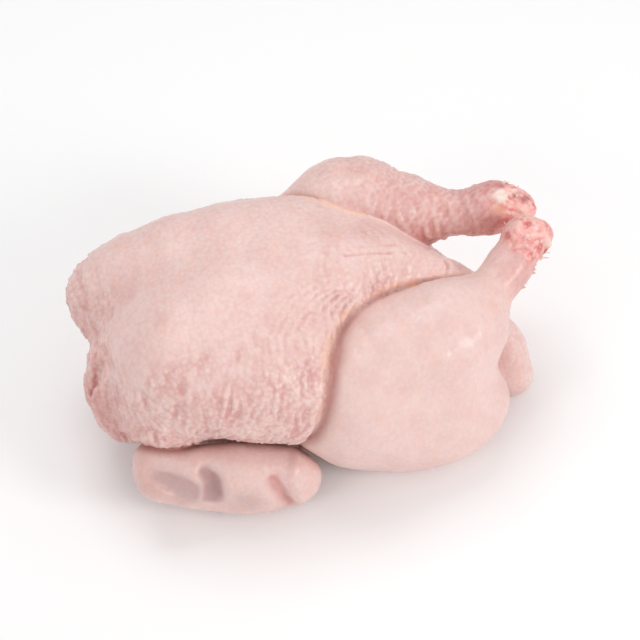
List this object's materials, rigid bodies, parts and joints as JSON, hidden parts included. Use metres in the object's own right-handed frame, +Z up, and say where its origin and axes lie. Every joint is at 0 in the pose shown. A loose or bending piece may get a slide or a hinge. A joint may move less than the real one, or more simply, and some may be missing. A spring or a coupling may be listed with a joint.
{
  "type": "whole raw chicken",
  "caption": "Plucked whole raw chicken lying on its back, with its wings folded along its sides and its shanks drawn together.",
  "frame": {"origin": "centre of the bounding box's base, on the surface that the bird lies on", "axes": "+X from the neck to the tail, +Z up through the breast, +Y to the bird's own left side"},
  "size_m": [0.2624, 0.1678, 0.1219],
  "materials": {
    "skin": "moist satin skin"
  },
  "bodies": {
    "root": {"chicken": "skin"}
  },
  "joints": []
}
